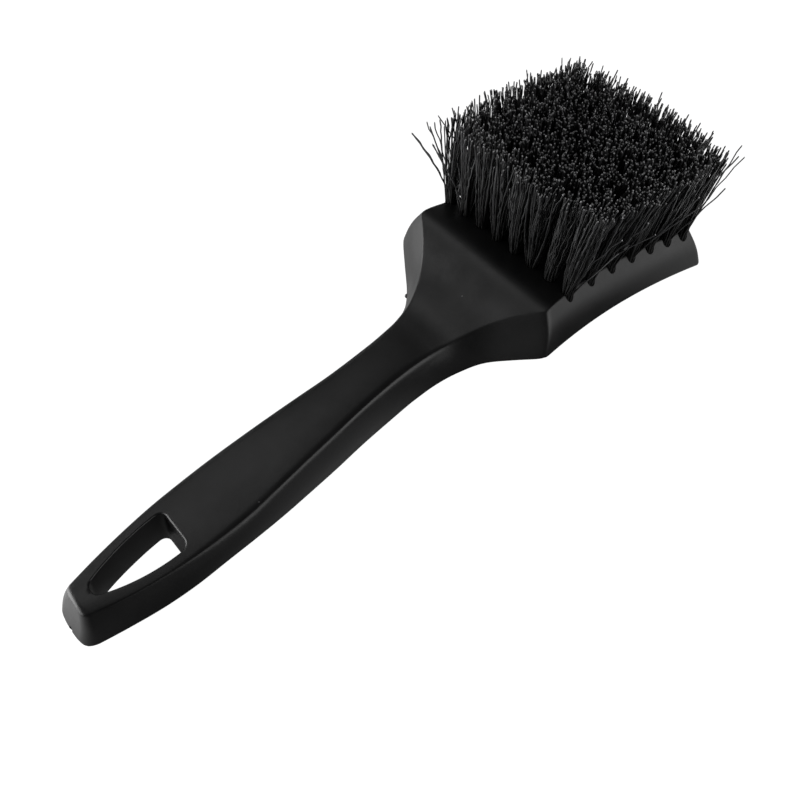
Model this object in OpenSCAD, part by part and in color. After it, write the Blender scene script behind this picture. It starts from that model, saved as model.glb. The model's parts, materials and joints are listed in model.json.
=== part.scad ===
// Short-handled wheel and tyre scrub brush, lying on its back with the bristles up.
// It is a one-piece moulding: a flared head, a cranked neck and a grip with a hanging eye.
// Each tuft is a bundle of filaments folded over a flat wire anchor at the bottom of its own hole.

/* [Head] */
// Length of the head, from its neck corners to its tip
head_l = 73.5; // [70:0.5:90]
// Width of the tuft face at its corners
head_w = 66.6; // [64:0.2:90]
// How far each long side pulls in at mid-length
head_waist = 3.6; // [0:0.2:4]
// How much wider each side is at the back than at the tuft face
head_flare = 6.4; // [5:0.2:9]
// Thickness of the head at the neck
head_t_neck = 17.2; // [15:0.2:20]
// Thickness of the head at the tip
head_t_tip = 15.3; // [14:0.1:19]

/* [Handle] */
// Length of the handle, from the head's corners to the top edge of the butt
handle_l = 169; // [150:1:220]
// Height of the crowned top of the grip above its side creases
grip_crown = 1; // [0:0.1:2]
// How far the sides of the grip bulge past a straight line
grip_bulge = 1.4; // [0:0.1:2]
// Plan radius of the butt's corners
butt_r = 3; // [2:0.5:4]

/* [Hanging eye] */
// Length of the eye along the handle
eye_l = 32.4; // [28:0.2:36]
// Width of the eye at its wide end
eye_w = 17.6; // [12:0.2:18]
// Radius of the corners at the eye's wide end
eye_r = 3; // [2:0.1:4]
// Radius of the eye's narrow end
eye_tip_r = 3.6; // [2.5:0.1:4]
// Radius of the eye's bowed sides
eye_bow_r = 72; // [60:1:120]
// Distance from the butt's top edge to the eye's narrow end
eye_to_butt = 6.5; // [5:0.5:8]

/* [Tufts] */
// Number of tufts along the head
tuft_cols = 7; // [5:1:7]
// Number of tufts across the head
tuft_rows = 8; // [5:1:8]
// Diameter of a tuft hole
hole_d = 4.6; // [4:0.1:5]
// Depth of a tuft hole
hole_depth = 11; // [9:0.5:12]
// Distance from the head's neck corners to the first column of holes
first_col = 12.2; // [11:0.2:14]
// Distance from the last column of holes to the head's tip
last_col = 3.5; // [3.2:0.1:6]
// How much the columns crowd towards the tip
col_crowding = 0.27; // [0:0.01:0.3]
// How far the centres of the outer rows lie inside the tuft face's edge
edge_inset = 0.4; // [0.2:0.1:1]
// Height of the trimmed bristle tips above the tuft face
bristle_h = 33.5; // [20:0.5:45]
// Distance between tuft centres at the tips
tip_pitch = 9.5; // [9.4:0.05:10]
// How far the whole bristle field leans towards the tip of the head
field_lean = 4; // [0:0.5:6]
// How far the bristle field bulges along the brush at its middle
bulge_along = 4; // [0:0.5:5]
// How far the bristle field bulges to each side at its middle
bulge_across = 2.5; // [0:0.5:4]

/* [Anchors] */
// Height of the flat wire
wire_h = 2; // [1.5:0.1:2.5]
// Thickness of the flat wire
wire_t = 0.4; // [0.3:0.05:0.5]
// How far each end of the wire bites into the plastic
wire_bite = 0.5; // [0.3:0.05:0.7]

/* [Hidden] */
$fn = 48;
tuft_ids = [for (r = [1:tuft_rows], c = [1:tuft_cols]) [r, c]];
function tuft_name(id) = str("tuft_r", id[0], "_c", id[1]);

// Handle stations from the butt to the head's corners. Each row holds the distance along the handle
// (negative is towards the butt), the half width at the crease, the height of the crease above the
// tuft face, the half width at the underside, and the thickness.
station_l = 169;
stations = [
    [-169, 6.5, -62.6, 10.2, 13.6],
    [-156, 9.8, -60.0, 12.6, 13.9],
    [-144, 12.0, -57.2, 14.1, 14.5],
    [-132, 13.5, -54.1, 15.2, 14.2],
    [-120, 14.2, -50.9, 15.6, 13.4],
    [-108, 14.2, -47.3, 15.6, 13.8],
    [-96, 13.4, -43.2, 14.6, 16.0],
    [-84, 12.4, -39.2, 13.6, 17.3],
    [-72, 11.4, -35.5, 12.6, 18.0],
    [-60, 10.3, -31.8, 11.5, 18.3],
    [-48, 9.8, -28.0, 11.1, 18.3],
    [-36, 9.9, -24.4, 11.6, 17.0],
    [-28, 10.6, -22.0, 13.2, 15.4],
    [-20, 12.9, -18.6, 16.6, 14.2],
    [-12, 18.0, -12.2, 22.9, 14.5],
    [-6, 24.6, -6.1, 31.1, 15.6],
    [0, head_w / 2, 0, head_w / 2 + head_flare, head_t_neck]
];
WIDTH = 1;
TOP = 2;
BASE_WIDTH = 3;
THICKNESS = 4;
last = len(stations) - 1;

// Distance past the corners at which the tuft face becomes flat, and how softly the ramp runs into it
face_start = 10;
ramp_blend = 1.8;
// Radius over which the neck's sides turn into the head's long sides
corner_blend = 0.8;
// How far the underside stands back from the tuft face's edge at the neck, tip and butt
neck_set_back = 3.2;
tip_set_out = 4.6;
butt_set_out = 3.9;
neck_blend = 30;
butt_blend = 18;
// Where the crowned grip fades into the flat neck
crown_start = 12;
crown_blend = 30;
// Height of the side's widest bend, as a part of the thickness below the crease
bend_height = 0.45;
// How much further the head's sides bulge past a straight line
head_bulge = 1.8;
// Radii of the crease, the side bend and the underside's edge
crease_r = 1;
bend_r = 5;
edge_r = 1.8;
tip_r = 1.5;
ring_steps = 4;
arc_steps = 8;

tuft_clearance = 0.1;
tuft_r = hole_d / 2 - tuft_clearance;
spread_z = 0.8;
stem_proud = 1.4;
tip_gap = 0.3;
tuft_tip_r = (tip_pitch - tip_gap) / 2;
anchor_floor = 1;
eye_cut = 60;
plastic = "#1d1d1f";
filament = "#111112";
wire = "#a9a9a4";

// ---- curves ----

function mix(a, b, t) = a + (b - a) * t;
function clamp01(t) = min(1, max(0, t));
function ease(t) = let (s = clamp01(t)) s * s * (3 - 2 * s);

function rise(k, i) = (stations[i + 1][k] - stations[i][k]) / (stations[i + 1][0] - stations[i][0]);
function run(i) = stations[i + 1][0] - stations[i][0];

// Slope of a station curve at station i, weighted by the spacing on either side
function slope(k, i) =
    i == 0 ? rise(k, 0)
    : i == last ? rise(k, last - 1)
    : (rise(k, i - 1) * run(i) + rise(k, i) * run(i - 1)) / (run(i) + run(i - 1));

function station_before(s) = max(0, min(last - 1, len([for (row = stations) if (row[0] <= s) 1]) - 1));

// Smooth curve through column k of the stations, carried on in a straight line past the corners
function along(k, u) =
    let (
        s = u < 0 ? u * station_l / handle_l : u,
        i = station_before(s),
        h = run(i),
        t = (s - stations[i][0]) / h,
        a = stations[i][k],
        b = stations[i + 1][k],
        ma = slope(k, i) * h,
        mb = slope(k, i + 1) * h
    )
    s > 0 ? stations[last][k] + slope(k, last) * s
    : a * (2 * t^3 - 3 * t^2 + 1) + ma * (t^3 - 2 * t^2 + t) + b * (3 * t^2 - 2 * t^3) + mb * (t^3 - t^2);

function soft_min(a, b) = -corner_blend * ln(exp(-a / corner_blend) + exp(-b / corner_blend));

function waist(u) = let (t = clamp01(u / head_l)) 4 * t * (1 - t) * head_waist;
function top_half_w(u) = soft_min(along(WIDTH, u), head_w / 2 - waist(u));
function base_half_w(u) = soft_min(along(BASE_WIDTH, u), head_w / 2 + head_flare - waist(u));

// Height of the crease: the neck's ramp is rounded over into the flat tuft face
function top_z(u) = u >= face_start ? 0 : -ramp_blend * ln(1 + exp(-along(TOP, u) / ramp_blend));

function base_z(u) =
    u < 0 ? along(TOP, u) - along(THICKNESS, u) : -mix(head_t_neck, head_t_tip, u / head_l);

// How far the underside is moved along the handle, measured from the crease above it
function base_shift(u) =
    u >= 0 ? mix(-neck_set_back, tip_set_out, u / head_l)
    : u > -neck_blend ? -neck_set_back * ease(1 + u / neck_blend)
    : -butt_set_out * ease(1 - (handle_l + u) / butt_blend);

function grip_part(u) = ease((-u - crown_start) / crown_blend);
function crown(u) = grip_crown * grip_part(u);
function bulge(u) = mix(head_bulge, grip_bulge, grip_part(u));

// ---- cross-sections ----

function unit(v) = v / norm(v);

// Points that round off the corner v between a and b
function rounded(a, v, b, r) =
    let (
        p = v + unit(a - v) * min(r, norm(a - v) / 2),
        q = v + unit(b - v) * min(r, norm(b - v) / 2)
    )
    [for (i = [0:ring_steps]) let (t = i / ring_steps) (1 - t)^2 * p + 2 * t * (1 - t) * v + t^2 * q];

// Right half of the cross-section as [across, height], from the top's middle to the underside's
function half_section(u, inset) =
    let (
        w = top_half_w(u) - inset,
        wb = base_half_w(u) - inset,
        zt = top_z(u) - inset / 4,
        zb = base_z(u) + inset / 2,
        top = [0, zt + crown(u)],
        crease = [w, zt],
        bend = [mix(w, wb, bend_height) + bulge(u), mix(zt, zb, bend_height)],
        edge = [wb, zb],
        keel = [0, zb - crown(u)]
    )
    concat(
        [top, [w / 2, mix(zt, top[1], 0.75)]],
        rounded([w / 2, zt], crease, bend, crease_r),
        rounded(crease, bend, edge, bend_r),
        rounded(bend, edge, keel, edge_r),
        [keel]
    );

// Whole cross-section as points in space, leaned so that the underside is moved by base_shift
function section(u, inset) =
    let (
        half = half_section(u, inset),
        n = len(half),
        outline = concat(half, [for (i = [n - 2:-1:1]) [-half[i][0], half[i][1]]]),
        zt = top_z(u),
        depth = zt - base_z(u)
    )
    [for (p = outline) [u + base_shift(u) * (zt - p[1]) / depth, p[0], p[1]]];

// Places along the handle where a cross-section is drawn, each with its inset for rounded ends
places = concat(
    [for (a = [0:30:60]) [-handle_l + butt_r * (1 - cos(a)), butt_r * (1 - sin(a))]],
    [for (i = [0:22]) [mix(-handle_l + butt_r, -36, i / 22), 0]],
    [for (u = [-33:3:-12]) [u, 0]],
    [for (u = [-10:2:-8]) [u, 0]],
    [for (u = [-6.5:1.5:face_start]) [u, 0]],
    [for (i = [1:9]) [mix(face_start, head_l - tip_r, i / 9), 0]],
    [for (a = [60:-30:0]) [head_l - tip_r * (1 - cos(a)), tip_r * (1 - sin(a))]]
);
sections = [for (p = places) section(p[0], p[1])];

// ---- tuft layout ----

function tuft_x(c) =
    let (t = (c - 1) / (tuft_cols - 1))
    mix(first_col, head_l - last_col, t * (1 + col_crowding * (1 - t)));
function across(r) = 1 - 2 * (r - 1) / (tuft_rows - 1);
function hole_at(id) =
    let (x = tuft_x(id[1]))
    [x, across(id[0]) * (head_w / 2 - waist(x) - edge_inset), 0];
function field_mid() = (tuft_x(1) + tuft_x(tuft_cols)) / 2 + field_lean;
function tip_at(id) =
    let (s = 2 * (id[1] - 1) / (tuft_cols - 1) - 1, a = across(id[0]))
    [
        field_mid() + s * ((tuft_cols - 1) / 2 * tip_pitch + bulge_along * (1 - a^2)),
        a * ((tuft_rows - 1) / 2 * tip_pitch + bulge_across * (1 - s^2)),
        bristle_h
    ];

// ---- rest position: on the tip's back edge and the underside of the grip ----

tip_edge = [head_l + tip_set_out, -head_t_tip];
keel_line = [for (p = places) [p[0] + base_shift(p[0]), base_z(p[0]) - crown(p[0])]];
grip_keel = [for (k = keel_line) if (k[0] < -neck_blend) k];
rest_tilt = atan(max([for (k = grip_keel) (tip_edge[1] - k[1]) / (tip_edge[0] - k[0])]));
rest_x = [cos(rest_tilt), 0, sin(rest_tilt)];
rest_z = [-sin(rest_tilt), 0, cos(rest_tilt)];
ground = min([for (s = sections, p = s) p * rest_z]);
back_end = min([for (s = sections, p = s) p * rest_x]);
function tip_reach(id) =
    let (axis = unit(tip_at(id) - hole_at(id) - [0, 0, spread_z]))
    tip_at(id) * rest_x + tuft_tip_r * sqrt(1 - (axis * rest_x)^2);
front_end = max([for (id = tuft_ids) tip_reach(id)]);

// Turns a part from the tuft face's own axes to its rest position
module at_rest() {
    translate([-(back_end + front_end) / 2, 0, -ground])
        rotate([0, rest_tilt, 0])
            children();
}

// ---- parts ----

// The bare moulding, skinned over its cross-sections and closed by a fan at each end
module moulding() {
    n = len(sections[0]);
    m = len(sections);
    function at(i, j) = i * n + j % n;
    function middle(s) = (s[0] + s[n / 2]) / 2;
    polyhedron(
        points = concat([for (s = sections, p = s) p], [middle(sections[0]), middle(sections[m - 1])]),
        faces = concat(
            [for (j = [0:n - 1]) [m * n, at(0, j), at(0, j + 1)]],
            [for (i = [0:m - 2], j = [0:n - 1]) [at(i, j), at(i + 1, j), at(i + 1, j + 1)]],
            [for (i = [0:m - 2], j = [0:n - 1]) [at(i, j), at(i + 1, j + 1), at(i, j + 1)]],
            [for (j = [0:n - 1]) [m * n + 1, at(m - 1, j + 1), at(m - 1, j)]]
        )
    );
}

function arc(centre, r, from, to) =
    [for (i = [0:arc_steps]) let (a = mix(from, to, i / arc_steps)) centre + r * [cos(a), sin(a)]];

// Rounded triangle whose long sides are arcs that run smoothly into its three round corners
module eye_outline() {
    narrow = [-handle_l + eye_to_butt + eye_tip_r, 0];
    wide = [-handle_l + eye_to_butt + eye_l - eye_r, eye_w / 2 - eye_r];
    d = norm(wide - narrow);
    e = (wide - narrow) / d;
    p = ((eye_bow_r - eye_tip_r)^2 - (eye_bow_r - eye_r)^2 + d^2) / (2 * d);
    q = sqrt((eye_bow_r - eye_tip_r)^2 - p^2);
    bow = narrow + p * e + q * [e[1], -e[0]];
    from = atan2(wide[1] - bow[1], wide[0] - bow[0]);
    to = atan2(narrow[1] - bow[1], narrow[0] - bow[0]);
    half = concat(
        arc(wide, eye_r, 0, from),
        arc(bow, eye_bow_r, from, to),
        arc(narrow, eye_tip_r, to, 180)
    );
    n = len(half);
    polygon(concat(half, [for (i = [n - 2:-1:0]) [half[i][0], -half[i][1]]]));
}

module hanging_eye() {
    translate([0, 0, top_z(-handle_l) - eye_cut / 2])
        linear_extrude(eye_cut)
            eye_outline();
}

module tuft_hole(id) {
    translate(hole_at(id) - [0, 0, hole_depth])
        cylinder(h = hole_depth + 1, d = hole_d);
}

module anchor(id) {
    translate(hole_at(id) + [0, 0, anchor_floor + wire_h / 2 - hole_depth])
        cube([hole_d + 2 * wire_bite, wire_t, wire_h], center = true);
}

module handle() {
    color(plastic)
        at_rest()
            difference() {
                moulding();
                hanging_eye();
                for (id = tuft_ids) {
                    tuft_hole(id);
                    anchor(id);
                }
            }
}

module tuft(id) {
    base = hole_at(id) + [0, 0, spread_z];
    reach = tip_at(id) - base;
    color(filament)
        at_rest()
            difference() {
                union() {
                    translate(hole_at(id) - [0, 0, hole_depth])
                        cylinder(h = hole_depth + stem_proud, r = tuft_r);
                    translate(base)
                        rotate([0, acos(reach[2] / norm(reach)), atan2(reach[1], reach[0])])
                            cylinder(h = norm(reach), r1 = hole_d / 2, r2 = tuft_tip_r);
                }
                anchor(id);
            }
}

module anchors() {
    color(wire)
        at_rest()
            for (id = tuft_ids)
                anchor(id);
}

handle();
for (id = tuft_ids) tuft(id);
anchors();
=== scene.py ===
"""Looks of the wheel brush: a one-piece satin black moulding with 56 tufts of crimped filament."""

import json
import math

import bmesh
import bpy
import numpy as np
from mathutils import Matrix, Vector


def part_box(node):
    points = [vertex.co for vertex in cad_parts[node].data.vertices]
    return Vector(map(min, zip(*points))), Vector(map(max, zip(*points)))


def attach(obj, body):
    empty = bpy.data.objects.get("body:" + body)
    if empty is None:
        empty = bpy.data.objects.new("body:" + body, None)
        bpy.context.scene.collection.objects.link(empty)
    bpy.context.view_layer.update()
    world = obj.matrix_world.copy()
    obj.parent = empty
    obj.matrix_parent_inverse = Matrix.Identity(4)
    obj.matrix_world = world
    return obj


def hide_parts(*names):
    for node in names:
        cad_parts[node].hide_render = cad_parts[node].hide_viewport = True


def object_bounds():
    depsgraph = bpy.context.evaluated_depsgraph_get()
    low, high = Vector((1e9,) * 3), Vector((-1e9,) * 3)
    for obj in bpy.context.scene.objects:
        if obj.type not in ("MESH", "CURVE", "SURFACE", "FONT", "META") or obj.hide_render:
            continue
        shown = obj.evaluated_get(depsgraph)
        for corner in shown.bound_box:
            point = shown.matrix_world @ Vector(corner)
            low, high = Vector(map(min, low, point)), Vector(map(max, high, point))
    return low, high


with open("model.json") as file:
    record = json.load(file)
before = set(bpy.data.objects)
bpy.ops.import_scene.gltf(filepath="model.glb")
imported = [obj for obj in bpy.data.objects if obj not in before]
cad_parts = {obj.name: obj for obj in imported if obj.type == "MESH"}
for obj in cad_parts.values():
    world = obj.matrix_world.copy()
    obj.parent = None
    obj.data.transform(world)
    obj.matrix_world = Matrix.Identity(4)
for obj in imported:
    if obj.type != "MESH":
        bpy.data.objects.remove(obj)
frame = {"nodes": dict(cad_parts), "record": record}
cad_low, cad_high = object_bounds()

MM = 0.001
rng = np.random.default_rng(41)

# ---------------------------------------------------------------- driving sizes, in millimetres

# The head: its length and width, the pull of its waist, how much wider its back is, its thickness
HEAD_L, HEAD_W, WAIST, FLARE = 73.5, 66.6, 3.6, 6.4
HEAD_T_NECK, HEAD_T_TIP = 17.2, 15.3
# The handle, with the plan radii of its butt at the top and at the underside
HANDLE_L, CROWN, GRIP_BULGE, BUTT_R, BASE_BUTT_R = 169.0, 1.0, 1.4, 2.6, 5.0
# The hanging eye, its corner radii, the bow of its sides and its rounded rim
EYE_L, EYE_W, EYE_R, EYE_TIP_R, EYE_BOW_R, EYE_TO_BUTT = 32.4, 17.6, 3.0, 3.6, 72.0, 6.5
EYE_RIM_R = 0.8
# The tuft holes and where the bristle tips end
COLS, ROWS, HOLE_D, HOLE_DEPTH, HOLE_SIDES = 7, 8, 4.6, 11.0, 32
FIRST_COL, LAST_COL, COL_CROWDING, EDGE_INSET = 12.2, 3.5, 0.27, 0.4
BRISTLE_H, TIP_PITCH, FIELD_LEAN, BULGE_ALONG, BULGE_ACROSS = 33.5, 9.5, 4.0, 4.0, 2.5
# Where the tuft face becomes flat, and how softly the ramp and the sides run into it
FACE_START, RAMP_BLEND, CORNER_BLEND = 10.0, 1.8, 0.8
# How far the underside stands back at the neck or out at the tip and butt, and over what length
NECK_SET_BACK, TIP_SET_OUT, BUTT_SET_OUT = 3.2, 4.6, 3.9
NECK_BLEND, BUTT_BLEND, CROWN_START, CROWN_BLEND = 30.0, 18.0, 12.0, 30.0
# The shape of the sides: where they bend, how far they bulge, and the radii of their edges
BEND_HEIGHT, HEAD_BULGE, BEND_R, EDGE_R = 0.45, 1.8, 5.0, 1.8
CREASE_R, GRIP_CREASE_R = 0.7, 2.6
# Where the grip's wider crease starts, as a distance from the butt, and over what length
WIDE_CREASE_START, WIDE_CREASE_BLEND = 20.0, 40.0
# Radii of the butt's and the head tip's edges
BUTT_TOP_R, BUTT_UNDER_R = 1.5, 2.2
TIP_R, TIP_TOP_R, TIP_UNDER_R = 1.5, 0.7, 1.6
# Height of the anchor wires, and of the stretch where each bundle narrows towards its wire
WIRE_Z, WAIST_Z = -10.0, -7.2
# Marks left by moulding: a pit at the foot of the butt and a nub on the neck, as place and radius
GATE_MARK, GATE_R = (-171.9, 0.1, -75.3), 1.3
NECK_NUB, NUB_R = (-14.25, 22.0, -27.0), 0.9
# Edges sharper than this many degrees aren't shaded smooth
SHARP_ANGLE = 34
# How far below the brush the floor lies
FLOOR_GAP = 0.2

# The camera, on the tuft face's own axes: its place, the way it looks and the way up.
CAM_PLACE = (-199.34, -188.67, 228.0)
CAM_FORWARD, CAM_UP = (0.43935, 0.50066, -0.74586), (0.44318, 0.60141, 0.66476)

# Distance along the handle, half width at the crease, crease height, half width below, thickness
STATIONS = [
    (-169, 6.5, -62.6, 10.2, 13.6),
    (-156, 9.8, -60.0, 12.6, 13.9),
    (-144, 12.0, -57.2, 14.1, 14.5),
    (-132, 13.5, -54.1, 15.2, 14.2),
    (-120, 14.2, -50.9, 15.6, 13.4),
    (-108, 14.2, -47.3, 15.6, 13.8),
    (-96, 13.4, -43.2, 14.6, 16.0),
    (-84, 12.4, -39.2, 13.6, 17.3),
    (-72, 11.4, -35.5, 12.6, 18.0),
    (-60, 10.3, -31.8, 11.5, 18.3),
    (-48, 9.8, -28.0, 11.1, 18.3),
    (-36, 9.9, -24.4, 11.6, 17.0),
    (-28, 10.6, -22.0, 13.2, 15.4),
    (-20, 12.9, -18.6, 16.6, 14.2),
    (-12, 18.0, -12.2, 22.9, 14.5),
    (-6, 24.6, -6.1, 31.1, 15.6),
    (0, HEAD_W / 2, 0.0, HEAD_W / 2 + FLARE, HEAD_T_NECK),
]
WIDTH, TOP, BASE_WIDTH, THICKNESS = 1, 2, 3, 4

# ---------------------------------------------------------------- the moulding's curves


def mix(a, b, t):
    return a + (b - a) * t


def ease(t):
    s = min(1.0, max(0.0, t))
    return s * s * (3 - 2 * s)


def rise(k, i):
    return (STATIONS[i + 1][k] - STATIONS[i][k]) / run(i)


def run(i):
    return STATIONS[i + 1][0] - STATIONS[i][0]


def slope(k, i):
    last = len(STATIONS) - 1
    if i == 0:
        return rise(k, 0)
    if i == last:
        return rise(k, last - 1)
    return (rise(k, i - 1) * run(i) + rise(k, i) * run(i - 1)) / (run(i) + run(i - 1))


def along(k, u):
    last = len(STATIONS) - 1
    if u > 0:
        return STATIONS[last][k] + slope(k, last) * u
    i = max(0, min(last - 1, sum(row[0] <= u for row in STATIONS) - 1))
    h = run(i)
    t = (u - STATIONS[i][0]) / h
    a, b = STATIONS[i][k], STATIONS[i + 1][k]
    ma, mb = slope(k, i) * h, slope(k, i + 1) * h
    return (
        a * (2 * t**3 - 3 * t**2 + 1)
        + ma * (t**3 - 2 * t**2 + t)
        + b * (3 * t**2 - 2 * t**3)
        + mb * (t**3 - t**2)
    )


def soft_min(a, b):
    m = min(a, b)
    return m - CORNER_BLEND * math.log(
        math.exp(-(a - m) / CORNER_BLEND) + math.exp(-(b - m) / CORNER_BLEND)
    )


def waist(u):
    t = min(1.0, max(0.0, u / HEAD_L))
    return 4 * t * (1 - t) * WAIST


def top_half_w(u):
    return soft_min(along(WIDTH, u), HEAD_W / 2 - waist(u))


def base_half_w(u):
    return soft_min(along(BASE_WIDTH, u), HEAD_W / 2 + FLARE - waist(u))


def top_z(u):
    if u >= FACE_START:
        return 0.0
    return -RAMP_BLEND * math.log(1 + math.exp(-along(TOP, u) / RAMP_BLEND))


def base_z(u):
    if u < 0:
        return along(TOP, u) - along(THICKNESS, u)
    return -mix(HEAD_T_NECK, HEAD_T_TIP, u / HEAD_L)


def base_shift(u):
    if u >= 0:
        return mix(-NECK_SET_BACK, TIP_SET_OUT, u / HEAD_L)
    if u > -NECK_BLEND:
        return -NECK_SET_BACK * ease(1 + u / NECK_BLEND)
    return -BUTT_SET_OUT * ease(1 - (HANDLE_L + u) / BUTT_BLEND)


def grip_part(u):
    return ease((-u - CROWN_START) / CROWN_BLEND)


def crown(u):
    return CROWN * grip_part(u)


def bulge(u):
    return mix(HEAD_BULGE, GRIP_BULGE, grip_part(u))


# ---------------------------------------------------------------- the moulding's skin

# Steps along half a cross-section: its top, crease, bend, lower edge and underside, and the
# straight parts of its side above and below the bend
TOP_STEPS, CREASE_STEPS, BEND_STEPS, EDGE_STEPS, UNDER_STEPS = 14, 5, 10, 8, 10
UPPER_STEPS, LOWER_STEPS = 4, 3


def towards(a, b, r):
    d = (b[0] - a[0], b[1] - a[1])
    n = math.hypot(*d)
    return (a[0] + d[0] / n * min(r, n / 2), a[1] + d[1] / n * min(r, n / 2))


def rounded(a, v, b, r, steps):
    p, q = towards(v, a, r), towards(v, b, r)
    return [
        tuple((1 - t) ** 2 * p[k] + 2 * t * (1 - t) * v[k] + t * t * q[k] for k in (0, 1))
        for t in (i / steps for i in range(steps + 1))
    ]


def line(a, b, steps):
    return [(mix(a[0], b[0], i / steps), mix(a[1], b[1], i / steps)) for i in range(1, steps)]


def round_off(d, r):
    """How far a rounded end of radius r stands in from the side at distance d from the end."""
    return 0.0 if d >= r else r - math.sqrt(r * r - (r - d) ** 2)


def crease_r(u):
    from_butt = ease((u + HANDLE_L - WIDE_CREASE_START) / WIDE_CREASE_BLEND)
    return mix(CREASE_R, GRIP_CREASE_R, grip_part(u) * from_butt)


def half_section(u, side_in, base_in, top_in, low_in):
    """Half of a cross-section, as (across, height), from the top's middle to the underside's."""
    w, wb = top_half_w(u) - side_in, base_half_w(u) - base_in
    zt, zb = top_z(u) - top_in, base_z(u) + low_in
    arch, c = crown(u), crease_r(u)
    bend = (mix(w, wb, BEND_HEIGHT) + bulge(u), mix(zt, zb, BEND_HEIGHT))
    crease, edge, keel = (w, zt), (wb, zb), (0.0, zb - arch)
    outwards = [i / TOP_STEPS * (w - c) for i in range(TOP_STEPS + 1)]
    top = [(y, zt + arch * (1 - (y / w) ** 2)) for y in outwards]
    turn = rounded(top[-1], crease, bend, c, CREASE_STEPS)[1:]
    side = rounded(crease, bend, edge, BEND_R, BEND_STEPS)
    foot = rounded(bend, edge, keel, EDGE_R, EDGE_STEPS)
    upper = line(turn[-1], side[0], UPPER_STEPS)
    lower = line(side[-1], foot[0], LOWER_STEPS)
    inwards = [foot[-1][0] * (1 - i / UNDER_STEPS) for i in range(1, UNDER_STEPS + 1)]
    under = [(y, zb - arch * (1 - (y / wb) ** 2)) for y in inwards]
    return top + turn + upper + side + lower + foot + under


def skin_places():
    """Places of the cross-sections, each with its side, base, top and underside insets."""
    # Distances from either end, closer together where its edges round off
    ends = [0, 0.03, 0.1, 0.22, 0.38, 0.6, 0.85, 1.15, 1.5, 1.9, 2.4, 3.0, 3.8, 4.6]
    butt_radii = (BUTT_R, BASE_BUTT_R, BUTT_TOP_R, BUTT_UNDER_R)
    tip_radii = (TIP_R, TIP_R, TIP_TOP_R, TIP_UNDER_R)
    # Between the ends: first place, end and step of the grip, the neck, the ramp and the head
    runs = [(-163, -37, 1.5), (-37, -8, 1.0), (-8, 10.1, 0.5), (11.5, HEAD_L - 4.61, 1.5)]
    rows = [(-HANDLE_L + d, *(round_off(d, r) for r in butt_radii)) for d in ends]
    rows += [(u, 0, 0, 0, 0) for first, end, step in runs for u in np.arange(first, end, step)]
    rows += [(HEAD_L - d, *(round_off(d, r) for r in tip_radii)) for d in ends[::-1]]
    return rows


def skin():
    """Points and faces of the closed moulding, before its holes are cut."""
    rings = []
    for u, *insets in skin_places():
        half = half_section(u, *insets)
        outline = half + [(-y, z) for y, z in half[-2:0:-1]]
        zt, depth = top_z(u), top_z(u) - base_z(u)
        rings.append([(u + base_shift(u) * (zt - z) / depth, y, z) for y, z in outline])
    n, m = len(rings[0]), len(rings)
    faces = [
        (i * n + j, (i + 1) * n + j, (i + 1) * n + (j + 1) % n, i * n + (j + 1) % n)
        for i in range(m - 1)
        for j in range(n)
    ]
    faces.append(tuple(range(n)))
    faces.append(tuple(range(m * n - 1, (m - 1) * n - 1, -1)))
    return [p for ring in rings for p in ring], faces


def surface(x, y, low):
    """Height of the handle's top, or of its underside, at a place on the grip."""
    u = x
    if low:
        # The underside is shifted along the handle, so its section is found in a few steps.
        for _ in range(6):
            u = x - base_shift(u)
        return base_z(u) - crown(u) * (1 - (y / base_half_w(u)) ** 2)
    return top_z(u) + crown(u) * (1 - (y / top_half_w(u)) ** 2)


# ---------------------------------------------------------------- the head's axes and the row frame

eye_mount = next(m for m in frame["record"]["mounts"] if m["name"] == "hanging_eye")
TILT = math.atan2(eye_mount["axis"][0], eye_mount["axis"][2])


def tilted(p):
    """Points or directions on the tuft face's axes, turned to the row frame's axes."""
    x, y, z = np.moveaxis(np.asarray(p, float), -1, 0)
    c, s = math.cos(TILT), math.sin(TILT)
    return np.stack([x * c + z * s, y, z * c - x * s], -1)


skin_points, skin_faces = skin()
handle_low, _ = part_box("handle")
skin_low = tilted(skin_points).min(axis=0)
SHIFT = np.array([handle_low.x / MM - skin_low[0], 0.0, handle_low.z / MM - skin_low[2]])


def to_row(p):
    """Points on the tuft face's own axes in millimetres, to the row frame in metres."""
    return (tilted(p) + SHIFT) * MM


# ---------------------------------------------------------------- mesh helpers


def new_object(name, points, faces):
    mesh = bpy.data.meshes.new(name)
    mesh.from_pydata([tuple(p) for p in points], [], faces)
    mesh.validate()
    obj = bpy.data.objects.new(name, mesh)
    bpy.context.scene.collection.objects.link(obj)
    return obj


def cut(obj, cutter, operation="DIFFERENCE"):
    """Cut one mesh by another, or join them, and remove the other."""
    m = obj.modifiers.new("cut", "BOOLEAN")
    m.operation, m.solver, m.object = operation, "EXACT", cutter
    graph = bpy.context.evaluated_depsgraph_get()
    made = bpy.data.meshes.new_from_object(obj.evaluated_get(graph))
    obj.modifiers.clear()
    obj.data = made
    bpy.data.objects.remove(cutter)


def stack(rings):
    """Points and faces of a closed solid skinned over rings of equal length."""
    n, m = len(rings[0]), len(rings)
    faces = [
        (i * n + j, i * n + (j + 1) % n, (i + 1) * n + (j + 1) % n, (i + 1) * n + j)
        for i in range(m - 1)
        for j in range(n)
    ]
    faces.append(tuple(range(n - 1, -1, -1)))
    faces.append(tuple(range((m - 1) * n, m * n)))
    return [p for ring in rings for p in ring], faces


# ---------------------------------------------------------------- holes


def hole_at(r, c):
    t = (c - 1) / (COLS - 1)
    x = mix(FIRST_COL, HEAD_L - LAST_COL, t * (1 + COL_CROWDING * (1 - t)))
    across = 1 - 2 * (r - 1) / (ROWS - 1)
    return x, across * (HEAD_W / 2 - waist(x) - EDGE_INSET)


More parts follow.
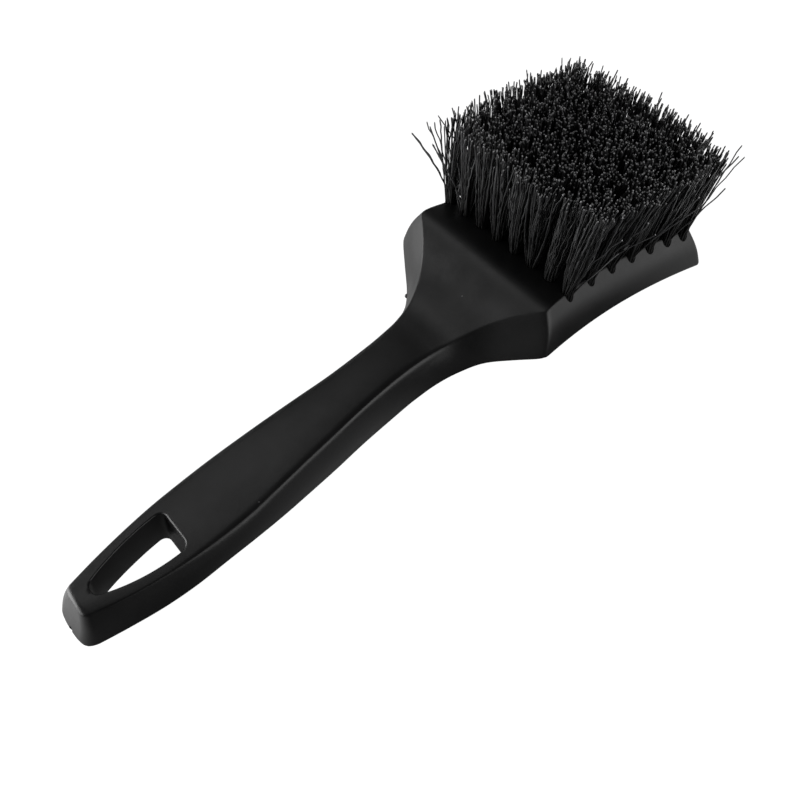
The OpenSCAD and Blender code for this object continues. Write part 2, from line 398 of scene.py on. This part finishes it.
def tip_at(r, c):
    middle = (FIRST_COL + HEAD_L - LAST_COL) / 2 + FIELD_LEAN
    s, a = 2 * (c - 1) / (COLS - 1) - 1, 1 - 2 * (r - 1) / (ROWS - 1)
    x = middle + s * ((COLS - 1) / 2 * TIP_PITCH + BULGE_ALONG * (1 - a * a))
    return x, a * ((ROWS - 1) / 2 * TIP_PITCH + BULGE_ACROSS * (1 - s * s))


def hole_cutter():
    """All the tuft holes as one mesh, each with a small lead-in at its mouth."""
    turns = [2 * math.pi * k / HOLE_SIDES for k in range(HOLE_SIDES)]
    circle = [(math.cos(a), math.sin(a)) for a in turns]
    # Heights, each with how much larger the radius is there
    profile = [(-HOLE_DEPTH, 0), (-0.3, 0), (-0.1, 0.06), (1.0, 1.2)]
    points, faces = [], []
    for r in range(1, ROWS + 1):
        for c in range(1, COLS + 1):
            x, y = hole_at(r, c)
            rings = []
            for z, grow in profile:
                radius = HOLE_D / 2 + grow
                rings.append([(x + radius * ca, y + radius * sa, z) for ca, sa in circle])
            p, f = stack(rings)
            faces += [tuple(i + len(points) for i in face) for face in f]
            points += p
    return points, faces


def arc(centre, r, start, end, steps):
    """Points of an arc, each with its outward direction."""
    turns = [mix(start, end, i / steps) for i in range(steps + 1)]
    return [
        ((centre[0] + r * math.cos(a), centre[1] + r * math.sin(a)), (math.cos(a), math.sin(a)))
        for a in turns
    ]


def eye_outline():
    """Rounded triangle with bowed sides, as (place, outward direction) pairs, counter-clockwise."""
    narrow = (-HANDLE_L + EYE_TO_BUTT + EYE_TIP_R, 0.0)
    wide = (-HANDLE_L + EYE_TO_BUTT + EYE_L - EYE_R, EYE_W / 2 - EYE_R)
    d = math.dist(wide, narrow)
    ex, ey = (wide[0] - narrow[0]) / d, wide[1] / d
    p = ((EYE_BOW_R - EYE_TIP_R) ** 2 - (EYE_BOW_R - EYE_R) ** 2 + d * d) / (2 * d)
    q = math.sqrt((EYE_BOW_R - EYE_TIP_R) ** 2 - p * p)
    bow = (narrow[0] + p * ex + q * ey, p * ey - q * ex)
    start = math.atan2(wide[1] - bow[1], wide[0] - bow[0])
    end = math.atan2(-bow[1], narrow[0] - bow[0])
    half = (
        arc(wide, EYE_R, 0, start, 14)
        + arc(bow, EYE_BOW_R, start, end, 20)[1:]
        + arc(narrow, EYE_TIP_R, end, math.pi, 14)[1:]
    )
    return half + [((x, -y), (nx, -ny)) for (x, y), (nx, ny) in half[-2::-1]]


def eye_cutter():
    """The eye, with a rounded rim that follows the grip's curved top and underside."""
    outline = eye_outline()
    turns = [math.radians(a) for a in (0, 15, 30, 45, 60)]
    profile = [(EYE_RIM_R * (1 - math.cos(a)), EYE_RIM_R * (1 - math.sin(a))) for a in turns]
    profile.append((profile[-1][0] + math.tan(turns[-1]), profile[-1][1] - 1))
    rings = []
    for low, sign, steps in ((True, 1, profile[::-1]), (False, -1, profile)):
        for grow, depth in steps:
            places = [(x + nx * grow, y + ny * grow) for (x, y), (nx, ny) in outline]
            rings.append([(x, y, surface(x, y, low) + sign * depth) for x, y in places])
    below = min(z for _, _, z in rings[0]) - 1
    above = max(z for _, _, z in rings[-1]) + 1
    rings.insert(0, [(x, y, below) for x, y, _ in rings[0]])
    rings.append([(x, y, above) for x, y, _ in rings[-1]])
    return stack(rings)


# ---------------------------------------------------------------- the handle


def ball(name, centre, radius):
    data = bpy.data.meshes.new(name)
    shape = bmesh.new()
    bmesh.ops.create_icosphere(shape, subdivisions=3, radius=radius * MM)
    bmesh.ops.translate(shape, verts=shape.verts, vec=Vector(to_row(centre)))
    shape.to_mesh(data)
    shape.free()
    obj = bpy.data.objects.new(name, data)
    bpy.context.scene.collection.objects.link(obj)
    return obj


def make_handle():
    handle = new_object("handle_moulding", to_row(skin_points), skin_faces)
    for name, (points, faces) in (("holes", hole_cutter()), ("eye", eye_cutter())):
        cut(handle, new_object(name, to_row(points), faces))
    cut(handle, ball("gate_mark", GATE_MARK, GATE_R))
    cut(handle, ball("neck_nub", NECK_NUB, NUB_R), "UNION")
    handle.data.polygons.foreach_set("use_smooth", [True] * len(handle.data.polygons))
    handle.data.set_sharp_from_angle(angle=math.radians(SHARP_ANGLE))
    return handle


# ---------------------------------------------------------------- the filaments

# One filament: the sides of its section, its radius, and how far its radius and its cut ends vary
SIDES, FILAMENT_R, THIN, THICK, CUT_TAPER = 6, 0.26, 0.86, 1.14, 0.82
# One bundle: its cut ends, its gap to the hole's wall, and half the gap between its two halves
ENDS_PER_TUFT, WALL_GAP, HALF_GAP, WIRE_HALF_GAP = 66, 0.32, 0.45, 0.35
# How far the tips spread, as a part of the pitch for each millimetre from foot to centre
SPLAY = 0.305
# How much of its distance from the field's middle a tip keeps there, and how much lower it is there
MIDDLE_PULL, DISH = 0.88, 1.1
# How much the tufts vary in height and lean, and the filaments in place, height and bow
TUFT_SPREAD, LEAN_SPREAD, TIP_SPREAD, CUT_SPREAD, BOW_SPREAD = 0.45, 0.45, 1.0, 0.8, 0.9
# How far tips usually stay below the bristle height, and how far the highest pass it
TRIM, HIGHEST = 0.5, 1.2
# The share of filaments that are cut short, and by how much
SHORT_SHARE, SHORT_BY = 0.06, (1.5, 7.0)
# Scatter of the feet, and how far below the hole's mouth the free legs start
FOOT_SPREAD, LEG_FOOT = 0.06, 0.6
# How unevenly the filaments splay, and the powers that make them bend later or sooner
SPLAY_SPREAD, BEND_POWER = (0.72, 1.22), (1.0, 1.35)
# The crimp's wavelengths, and the shape and scale of the gamma distribution of its size
CRIMP_LENGTH, CRIMP_SIZE = (4.5, 8.0), (3.0, 0.075)
# How far below the wire the folds lie, and how much they vary
FOLD_GAP, FOLD_SPREAD = 0.3, 0.2
# Filaments bent out of their tufts, as (row, column) and the places of their tips. Some stand out
# past the sides, and some cross low down between the tufts.
STRAYS = {
    (1, 1): [(-3.5, 37, 32), (0.5, 41.5, 28), (4, 36.5, 32), (6, 40.5, 31), (3, 33, 27)]
    + [(8, 39, 31), (19, 33, 15), (15, 25, 14), (16, 27, 19), (14, 24, 24), (17, 28, 13)],
    (1, 2): [(13, 42.5, 30), (17, 40, 33), (17, 33, 14), (15, 35, 18), (19, 34, 16), (12, 29, 33)],
    (2, 1): [(-1, 29, 31), (16, 34, 14), (17, 36, 18), (15, 33, 12), (18, 35, 21), (17, 31, 15)]
    + [(14, 32, 11), (13, 33, 14), (15, 31, 10), (13, 30, 13), (15, 30, 16), (12, 29, 18)],
    (8, 1): [(35, -34.5, 11.5), (22, -40, 24)],
    (8, 2): [(40, -40.5, 18), (34, -41, 26)],
    (8, 4): [(61, -41, 20), (57, -42, 27)],
    (8, 6): [(79, -38.5, 19), (83, -37, 30)],
    (8, 7): [(86, -37.5, 29), (88, -34, 31)],
    (5, 7): [(91, 6, 31)],
}


def rings_along(paths, radii):
    """Points of round sections along paths, as (filament, ring, corner, xyz)."""
    tangent = np.gradient(paths, axis=1)
    tangent /= np.linalg.norm(tangent, axis=2, keepdims=True)
    across = np.array([1.0, 0.0, 0.0]) - tangent[..., :1] * tangent
    across /= np.linalg.norm(across, axis=2, keepdims=True)
    other = np.cross(tangent, across)
    angle = np.arange(SIDES) * 2 * math.pi / SIDES
    ring = (
        across[:, :, None, :] * np.cos(angle)[None, None, :, None]
        + other[:, :, None, :] * np.sin(angle)[None, None, :, None]
    )
    return paths[:, :, None, :] + ring * radii[:, :, None, None]


def tube_faces(count, steps):
    """Corner numbers of the sides and of the end caps of closed tubes."""

    def corner(filament, ring, side):
        return (filament * steps + ring) * SIDES + side % SIDES

    i, s, k = np.meshgrid(np.arange(count), np.arange(steps - 1), np.arange(SIDES), indexing="ij")
    quad = [corner(i, s, k), corner(i, s, k + 1), corner(i, s + 1, k + 1), corner(i, s + 1, k)]
    sides = np.stack(quad, -1)
    every = np.arange(count)[:, None]
    first = corner(every, 0, np.arange(SIDES)[None, ::-1])
    final = corner(every, steps - 1, np.arange(SIDES)[None, :])
    return sides.reshape(-1, 4), np.concatenate([first, final])


def tubes(name, paths, radii, tone, ends, heights):
    """One mesh of round filaments along paths (filament, ring, xyz), closed at both ends.

    Its strand attribute holds each filament's tone, its cut ends and the height along its legs."""
    count, steps, _ = paths.shape
    points = to_row(rings_along(paths, radii).reshape(-1, 3))
    sides, caps = tube_faces(count, steps)
    corners = np.concatenate([sides.ravel(), caps.ravel()])
    starts = np.concatenate(
        [np.arange(len(sides)) * 4, len(sides) * 4 + np.arange(len(caps)) * SIDES]
    )
    smooth = np.concatenate([np.ones(len(sides), bool), np.zeros(len(caps), bool)])
    mesh = bpy.data.meshes.new(name)
    mesh.vertices.add(len(points))
    mesh.vertices.foreach_set("co", points.astype(np.float32).ravel())
    mesh.loops.add(len(corners))
    mesh.loops.foreach_set("vertex_index", corners.astype(np.int32))
    mesh.polygons.add(len(starts))
    mesh.polygons.foreach_set("loop_start", starts.astype(np.int32))
    mesh.polygons.foreach_set("use_smooth", smooth)
    strand = mesh.attributes.new("strand", "FLOAT_COLOR", "POINT")
    values = np.ones((count, steps, SIDES, 4), np.float32)
    values[..., 0] = tone[:, None, None]
    values[..., 1] = ends[:, None]
    values[..., 2] = heights[:, None]
    strand.data.foreach_set("color", values.ravel())
    mesh.update(calc_edges=True)
    mesh.validate()
    obj = bpy.data.objects.new(name, mesh)
    bpy.context.scene.collection.objects.link(obj)
    return obj


def disc(count, radius):
    """Evenly packed places in a disc, jittered."""
    k = np.arange(count) + 0.5
    r = radius * np.sqrt(k / count)
    # Each place is turned from the last by the golden angle.
    a = k * math.pi * (3 - math.sqrt(5))
    return np.stack([r * np.cos(a), r * np.sin(a)], 1) + rng.normal(0, FOOT_SPREAD, (count, 2))


# Heights of a leg's rings, from 0 at its foot to 1 at its tip, with one close below the tip
LEG_T = np.append(np.linspace(0, 0.985, 15) ** 0.9, 1.0)


def leg(foot, tip, height):
    """Paths of free legs from the hole to their cut tips, with the crimp of drawn filament."""
    n = len(foot)
    t = LEG_T[None, :]
    z = mix(-LEG_FOOT, height[:, None], t)
    bend = t ** rng.uniform(*BEND_POWER, (n, 1))
    x = mix(foot[:, :1], tip[:, :1], bend)
    y = mix(foot[:, 1:], tip[:, 1:], bend)
    wavelength = rng.uniform(*CRIMP_LENGTH, (n, 1))
    phase = rng.uniform(0, 2 * math.pi, (n, 1))
    plane = rng.uniform(0, 2 * math.pi, (n, 1))
    size = rng.gamma(*CRIMP_SIZE, (n, 1)) * np.minimum(1.0, t * 3)
    wave = size * np.sin(2 * math.pi * z / wavelength + phase)
    bow = rng.normal(0, BOW_SPREAD, (n, 2, 1)) * np.sin(math.pi * np.minimum(1.0, t * 1.05))
    x = x + wave * np.cos(plane) + bow[:, 0]
    y = y + wave * np.sin(plane) + bow[:, 1]
    return np.stack([x, y, z], -1)


def bundle_halves():
    """Feet of a bundle's two halves, in the order that pairs the two feet of each filament."""
    pairs = ENDS_PER_TUFT // 2
    feet = disc(ENDS_PER_TUFT, HOLE_D / 2 - WALL_GAP)
    feet = feet[np.argsort(feet[:, 1])]
    left, right = feet[pairs:], feet[:pairs][::-1]
    left[:, 1] = np.maximum(left[:, 1], HALF_GAP)
    right[:, 1] = np.minimum(right[:, 1], -HALF_GAP)
    return left, right


def folds(hole, left, right):
    """Paths in the hole: down one side, under the wire and up the other side."""
    layer = WIRE_Z - FOLD_GAP - FOLD_SPREAD * rng.random(len(left))
    places = [
        (left, left[:, 1], WAIST_Z),
        (left, WIRE_HALF_GAP, layer),
        (right, -WIRE_HALF_GAP, layer),
        (right, right[:, 1], WAIST_Z),
    ]
    paths = np.empty((len(left), len(places), 3))
    for k, (side, across, z) in enumerate(places):
        paths[:, k, 0] = hole[0] + side[:, 0]
        paths[:, k, 1] = hole[1] + across
        paths[:, k, 2] = z
    return paths


def cut_heights(n, tuft_height):
    height = BRISTLE_H - TRIM + tuft_height + rng.normal(0, CUT_SPREAD, n)
    short = rng.random(n) < SHORT_SHARE
    height = np.where(short, height - rng.uniform(*SHORT_BY, n), height)
    return np.minimum(height, BRISTLE_H + HIGHEST)


def make_tuft(r, c):
    hole, tip = np.array(hole_at(r, c)), np.array(tip_at(r, c))
    left, right = bundle_halves()
    rim = max(abs(2 * (c - 1) / (COLS - 1) - 1), abs(2 * (r - 1) / (ROWS - 1) - 1))
    centre = np.array([(FIRST_COL + HEAD_L - LAST_COL) / 2 + FIELD_LEAN, 0.0])
    tip = mix(centre, tip, mix(MIDDLE_PULL, 1.0, rim**2))
    tuft_height = rng.normal(0, TUFT_SPREAD) + DISH * (rim**2 - 1)
    lean = rng.normal(0, LEAN_SPREAD, 2)
    bent = np.array(STRAYS.get((r, c), [])).reshape(-1, 3)
    outer = left if r < ROWS / 2 else right
    legs = []
    for half in (left, right):
        n = len(half)
        reach = half * (SPLAY * TIP_PITCH * rng.uniform(*SPLAY_SPREAD, (n, 1)))
        tips = tip + reach + lean + rng.normal(0, TIP_SPREAD, (n, 2))
        height = cut_heights(n, tuft_height)
        if half is outer and len(bent):
            tips[-len(bent) :], height[-len(bent) :] = bent[:, :2], bent[:, 2]
        legs.append(leg(half + hole, tips, height))
    pairs = len(left)
    tone = rng.random(pairs)
    # Painted highlight: the bent-out filaments get the lightest tone, so their sides and cut ends
    # show as if they catch the light.
    tone[pairs - len(bent) :] = 1.0
    inside = folds(hole, left, right)
    paths = np.concatenate([legs[0][:, ::-1], inside, legs[1]], axis=1)
    heights = np.concatenate([LEG_T[::-1], np.zeros(inside.shape[1]), LEG_T])
    ends = np.zeros(len(heights))
    ends[[0, -1]] = 1.0
    radii = FILAMENT_R * rng.uniform(THIN, THICK, (pairs, 1)) * np.ones((pairs, len(heights)))
    radii[:, [0, -1]] *= CUT_TAPER
    return tubes(f"bristles_r{r}_c{c}", paths, radii, tone, ends, heights)


# ---------------------------------------------------------------- materials


def material(name):
    """A new material with one Principled shader, as (material, nodes, links, shader)."""
    m = bpy.data.materials.new(name)
    m.use_nodes = True
    m.node_tree.nodes.clear()
    out = m.node_tree.nodes.new("ShaderNodeOutputMaterial")
    shader = m.node_tree.nodes.new("ShaderNodeBsdfPrincipled")
    m.node_tree.links.new(shader.outputs[0], out.inputs[0])
    return m, m.node_tree.nodes, m.node_tree.links, shader


def noise(nodes, links, coords, scale, detail=3.0, rough=0.55):
    n = nodes.new("ShaderNodeTexNoise")
    n.inputs["Scale"].default_value = scale
    n.inputs["Detail"].default_value = detail
    n.inputs["Roughness"].default_value = rough
    links.new(coords, n.inputs["Vector"])
    return n.outputs["Fac"]


def spread_of(nodes, links, value, low, high, from_low=0.3, from_high=0.7):
    """The value with from_low to from_high stretched to low to high, and held at its ends."""
    n = nodes.new("ShaderNodeMapRange")
    ends = {"From Min": from_low, "From Max": from_high, "To Min": low, "To Max": high}
    for key, v in ends.items():
        n.inputs[key].default_value = v
    links.new(value, n.inputs["Value"])
    return n.outputs["Result"]


def maths(nodes, links, kind, a, b):
    n = nodes.new("ShaderNodeMath")
    n.operation = kind
    for k, v in enumerate((a, b)):
        if isinstance(v, (int, float)):
            n.inputs[k].default_value = v
        else:
            links.new(v, n.inputs[k])
    return n.outputs[0]


def colour_mix(nodes, links, fac, a, b):
    n = nodes.new("ShaderNodeMix")
    n.data_type = "RGBA"
    links.new(fac, n.inputs["Factor"])
    for key, v in (("A", a), ("B", b)):
        socket = next(s for s in n.inputs if s.name == key and s.type == "RGBA")
        if isinstance(v, tuple):
            socket.default_value = (*v, 1.0)
        else:
            links.new(v, socket)
    return next(s for s in n.outputs if s.type == "RGBA")


def dust_specks(nodes, links, coords):
    """1 in small round specks in about a tenth of the cells of a fine Voronoi pattern, else 0."""
    cells = nodes.new("ShaderNodeTexVoronoi")
    cells.inputs["Scale"].default_value = 190.0
    links.new(coords, cells.inputs["Vector"])
    near = spread_of(nodes, links, cells.outputs["Distance"], 1.0, 0.0, 0.03, 0.055)
    parts = nodes.new("ShaderNodeSeparateColor")
    links.new(cells.outputs["Color"], parts.inputs[0])
    some = maths(nodes, links, "GREATER_THAN", parts.outputs[0], 0.9)
    return maths(nodes, links, "MULTIPLY", near, some)


def add_bump(nodes, links, shader, height, strength, distance):
    bump = nodes.new("ShaderNodeBump")
    bump.inputs["Strength"].default_value = strength
    bump.inputs["Distance"].default_value = distance
    links.new(height, bump.inputs["Height"])
    links.new(bump.outputs[0], shader.inputs["Normal"])


def plastic_material():
    """Satin black: a cloudy sheen, a fine moulded grain and a few dust specks."""
    m, nodes, links, shader = material("satin_black_plastic")
    dark, light, dust = (0.005, 0.005, 0.0053), (0.008, 0.008, 0.0083), (0.12, 0.12, 0.125)
    coords = nodes.new("ShaderNodeTexCoord").outputs["Object"]
    cloud = noise(nodes, links, coords, 38.0, 4.0)
    grain = noise(nodes, links, coords, 2400.0, 4.0)
    ripple = noise(nodes, links, coords, 160.0, 3.0)
    colour = colour_mix(nodes, links, spread_of(nodes, links, cloud, 0.0, 1.0), dark, light)
    colour = colour_mix(nodes, links, dust_specks(nodes, links, coords), colour, dust)
    links.new(colour, shader.inputs["Base Color"])
    rough = spread_of(nodes, links, cloud, 0.34, 0.42)
    fine = spread_of(nodes, links, ripple, -0.03, 0.03)
    links.new(maths(nodes, links, "ADD", rough, fine), shader.inputs["Roughness"])
    shader.inputs["IOR"].default_value = 1.49
    height = maths(nodes, links, "ADD", grain, maths(nodes, links, "MULTIPLY", ripple, 2.0))
    add_bump(nodes, links, shader, height, 0.5, 0.05 * MM)
    return m


def bristle_material():
    """Black filament in several tones; painted shade darkens it towards the foot, where it is also
    duller, and its cut ends are pale, partly from cutting and partly from a painted highlight.
    """
    m, nodes, links, shader = material("black_filament")
    black, dark, light = (0.001, 0.001, 0.001), (0.0015, 0.0015, 0.0017), (0.085, 0.085, 0.088)
    pale_cut_end_and_highlight = (0.62, 0.62, 0.63)
    strand = nodes.new("ShaderNodeAttribute")
    strand.attribute_name = "strand"
    parts = nodes.new("ShaderNodeSeparateColor")
    links.new(strand.outputs["Color"], parts.inputs[0])
    tone, ends, leg_height = parts.outputs
    coords = nodes.new("ShaderNodeTexCoord").outputs["Object"]
    streak = noise(nodes, links, coords, 900.0, 2.0)
    vivid = maths(nodes, links, "POWER", tone, 1.8)
    body = colour_mix(nodes, links, vivid, dark, light)
    # Painted shade: each filament's colour goes to black towards its foot, where the tufts and the
    # face shade it.
    above = spread_of(nodes, links, leg_height, 0.0, 1.0, 0.05, 0.75)
    body = colour_mix(nodes, links, above, black, body)
    # Cut ends: pale from cutting, and partly a painted highlight where their flat ends catch the
    # light; brighter on lighter filaments.
    bright = spread_of(nodes, links, vivid, 0.2, 1.0, 0.0, 1.0)
    tip = maths(nodes, links, "MULTIPLY", ends, bright)
    links.new(colour_mix(nodes, links, tip, body, pale_cut_end_and_highlight), shader.inputs["Base Color"])
    rough = spread_of(nodes, links, streak, 0.26, 0.40)
    foot = spread_of(nodes, links, leg_height, 0.6, 0.0, 0.0, 0.5)
    links.new(maths(nodes, links, "ADD", rough, foot), shader.inputs["Roughness"])
    shader.inputs["IOR"].default_value = 1.5
    add_bump(nodes, links, shader, streak, 0.3, 0.03 * MM)
    return m


def wire_material():
    """Drawn steel: fine lines along the wire in its colour and gloss."""
    m, nodes, links, shader = material("drawn_wire")
    coords = nodes.new("ShaderNodeTexCoord").outputs["Object"]
    stretch = nodes.new("ShaderNodeMapping")
    stretch.inputs["Scale"].default_value = (80.0, 3000.0, 3000.0)
    links.new(coords, stretch.inputs["Vector"])
    lines = noise(nodes, links, stretch.outputs[0], 1.0, 2.0)
    colour = colour_mix(nodes, links, lines, (0.50, 0.50, 0.48), (0.66, 0.66, 0.64))
    links.new(colour, shader.inputs["Base Color"])
    links.new(spread_of(nodes, links, lines, 0.25, 0.45), shader.inputs["Roughness"])
    shader.inputs["Metallic"].default_value = 1.0
    return m


def white_to_camera(nodes, links, seen, otherwise):
    """One shader for what the camera sees straight on, and another for light and reflections."""
    path = nodes.new("ShaderNodeLightPath")
    pick = nodes.new("ShaderNodeMixShader")
    links.new(path.outputs["Is Camera Ray"], pick.inputs[0])
    links.new(otherwise, pick.inputs[1])
    links.new(seen, pick.inputs[2])
    return pick.outputs[0]


def with_glow(nodes, links, shader, strength):
    """A shader with white light added, of a fixed strength or one from nodes."""
    glow = nodes.new("ShaderNodeEmission")
    if isinstance(strength, float):
        glow.inputs["Strength"].default_value = strength
    else:
        links.new(strength, glow.inputs["Strength"])
    both = nodes.new("ShaderNodeAddShader")
    links.new(shader, both.inputs[0])
    links.new(glow.outputs[0], both.inputs[1])
    return both.outputs[0]


def floor_material():
    """Pale floor: white to the camera, and a graded card in reflections."""
    m, nodes, links, shader = material("pale_floor")
    shader.inputs["Base Color"].default_value = (0.22, 0.22, 0.22, 1.0)
    shader.inputs["Roughness"].default_value = 0.9
    place = nodes.new("ShaderNodeSeparateXYZ")
    links.new(nodes.new("ShaderNodeTexCoord").outputs["Object"], place.inputs[0])
    x, y = place.outputs[0], place.outputs[1]
    # Each part of the card is lit over a stretch of the floor, in metres from the brush's middle.
    behind = spread_of(nodes, links, y, 0.0, 0.5, -0.01, 0.05)
    past_butt = maths(nodes, links, "SUBTRACT", y, x)
    past_butt = spread_of(nodes, links, past_butt, 0.0, 0.95, 0.12, 0.18)
    past_tip = spread_of(nodes, links, x, 0.0, 1.2, 0.09, 0.17)
    beside = spread_of(nodes, links, y, 0.0, 1.0, -0.06, -0.035)
    by_grip = spread_of(nodes, links, x, 0.02, 0.22, -0.10, -0.04)
    beside = maths(nodes, links, "MULTIPLY", beside, by_grip)
    before_head = spread_of(nodes, links, x, 1.0, 0.0, -0.01, 0.02)
    beside = maths(nodes, links, "MULTIPLY", beside, before_head)
    sides = maths(nodes, links, "ADD", maths(nodes, links, "MAXIMUM", beside, behind), past_tip)
    card = maths(nodes, links, "ADD", past_butt, sides)
    seen = with_glow(nodes, links, shader.outputs[0], 1.0)
    reflected = with_glow(nodes, links, shader.outputs[0], card)
    out = next(n for n in nodes if n.type == "OUTPUT_MATERIAL")
    links.new(white_to_camera(nodes, links, seen, reflected), out.inputs[0])
    return m


# ---------------------------------------------------------------- build

plastic, filament = plastic_material(), bristle_material()

handle = make_handle()
handle.data.materials.clear()
handle.data.materials.append(plastic)
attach(handle, "root")
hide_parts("handle")

for row in range(1, ROWS + 1):
    for col in range(1, COLS + 1):
        tuft = make_tuft(row, col)
        tuft.data.materials.append(filament)
        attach(tuft, "root")
        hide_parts(f"tuft_r{row}_c{col}")

wire = wire_material()
for slot in frame["nodes"]["anchors"].material_slots:
    slot.material = wire

# ---------------------------------------------------------------- stage, light and camera


def aim(obj, target):
    away = obj.location - Vector(target)
    obj.rotation_mode = "QUATERNION"
    obj.rotation_quaternion = away.to_track_quat("Z", "Y")


def softbox(name, place, target, size, power):
    """A rectangular area light that the camera doesn't see: metres and watts."""
    data = bpy.data.lights.new(name, "AREA")
    data.shape, data.size, data.size_y, data.energy = "RECTANGLE", size[0], size[1], power
    obj = bpy.data.objects.new(name, data)
    obj.location = place
    obj.visible_camera = False
    bpy.context.scene.collection.objects.link(obj)
    aim(obj, target)


floor_half = 4  # metres
corner_signs = ((-1, -1), (1, -1), (1, 1), (-1, 1))
floor_corners = [(i * floor_half, j * floor_half, 0) for i, j in corner_signs]
floor = new_object("floor", floor_corners, [(0, 1, 2, 3)])
floor.location.z = cad_low.z - FLOOR_GAP * MM
floor.data.materials.append(floor_material())

middle = (cad_low + cad_high) / 2
softbox("key", (-0.66, 0.6, 0.21), middle, (0.7, 0.4), 6.5)
softbox("fill", (0.25, -0.85, 0.3), middle, (0.9, 0.55), 3.6)
softbox("hair", (-0.1, 0.55, 0.95), middle, (0.45, 0.6), 0.75)

world = bpy.data.worlds.new("studio")
bpy.context.scene.world = world
world.use_nodes = True
tree = world.node_tree
way = tree.nodes.new("ShaderNodeSeparateXYZ")
tree.links.new(tree.nodes.new("ShaderNodeTexCoord").outputs["Generated"], way.inputs[0])
dim = tree.nodes["Background"]
dim.inputs[0].default_value = (1, 1, 1, 1)
brighter_behind = spread_of(tree.nodes, tree.links, way.outputs[1], 0.015, 0.11, -0.6, 0.6)
tree.links.new(brighter_behind, dim.inputs[1])
white = tree.nodes.new("ShaderNodeBackground")
white.inputs[1].default_value = 1.2
sky = white_to_camera(tree.nodes, tree.links, white.outputs[0], dim.outputs[0])
tree.links.new(sky, tree.nodes["World Output"].inputs[0])

bpy.context.scene.view_settings.view_transform = "Standard"
bpy.context.scene.view_settings.look = "None"

camera = bpy.data.objects.new("camera", bpy.data.cameras.new("camera"))
bpy.context.scene.collection.objects.link(camera)
bpy.context.scene.camera = camera
camera.data.lens, camera.data.sensor_width = 45.0, 36.0
camera.data.clip_start, camera.data.clip_end = 0.01, 20.0
forward = Vector(tilted(CAM_FORWARD)).normalized()
right = forward.cross(Vector(tilted(CAM_UP))).normalized()
turn = Matrix((right, right.cross(forward), -forward)).transposed()
camera.matrix_world = Matrix.Translation(Vector(to_row(CAM_PLACE))) @ turn.to_4x4()
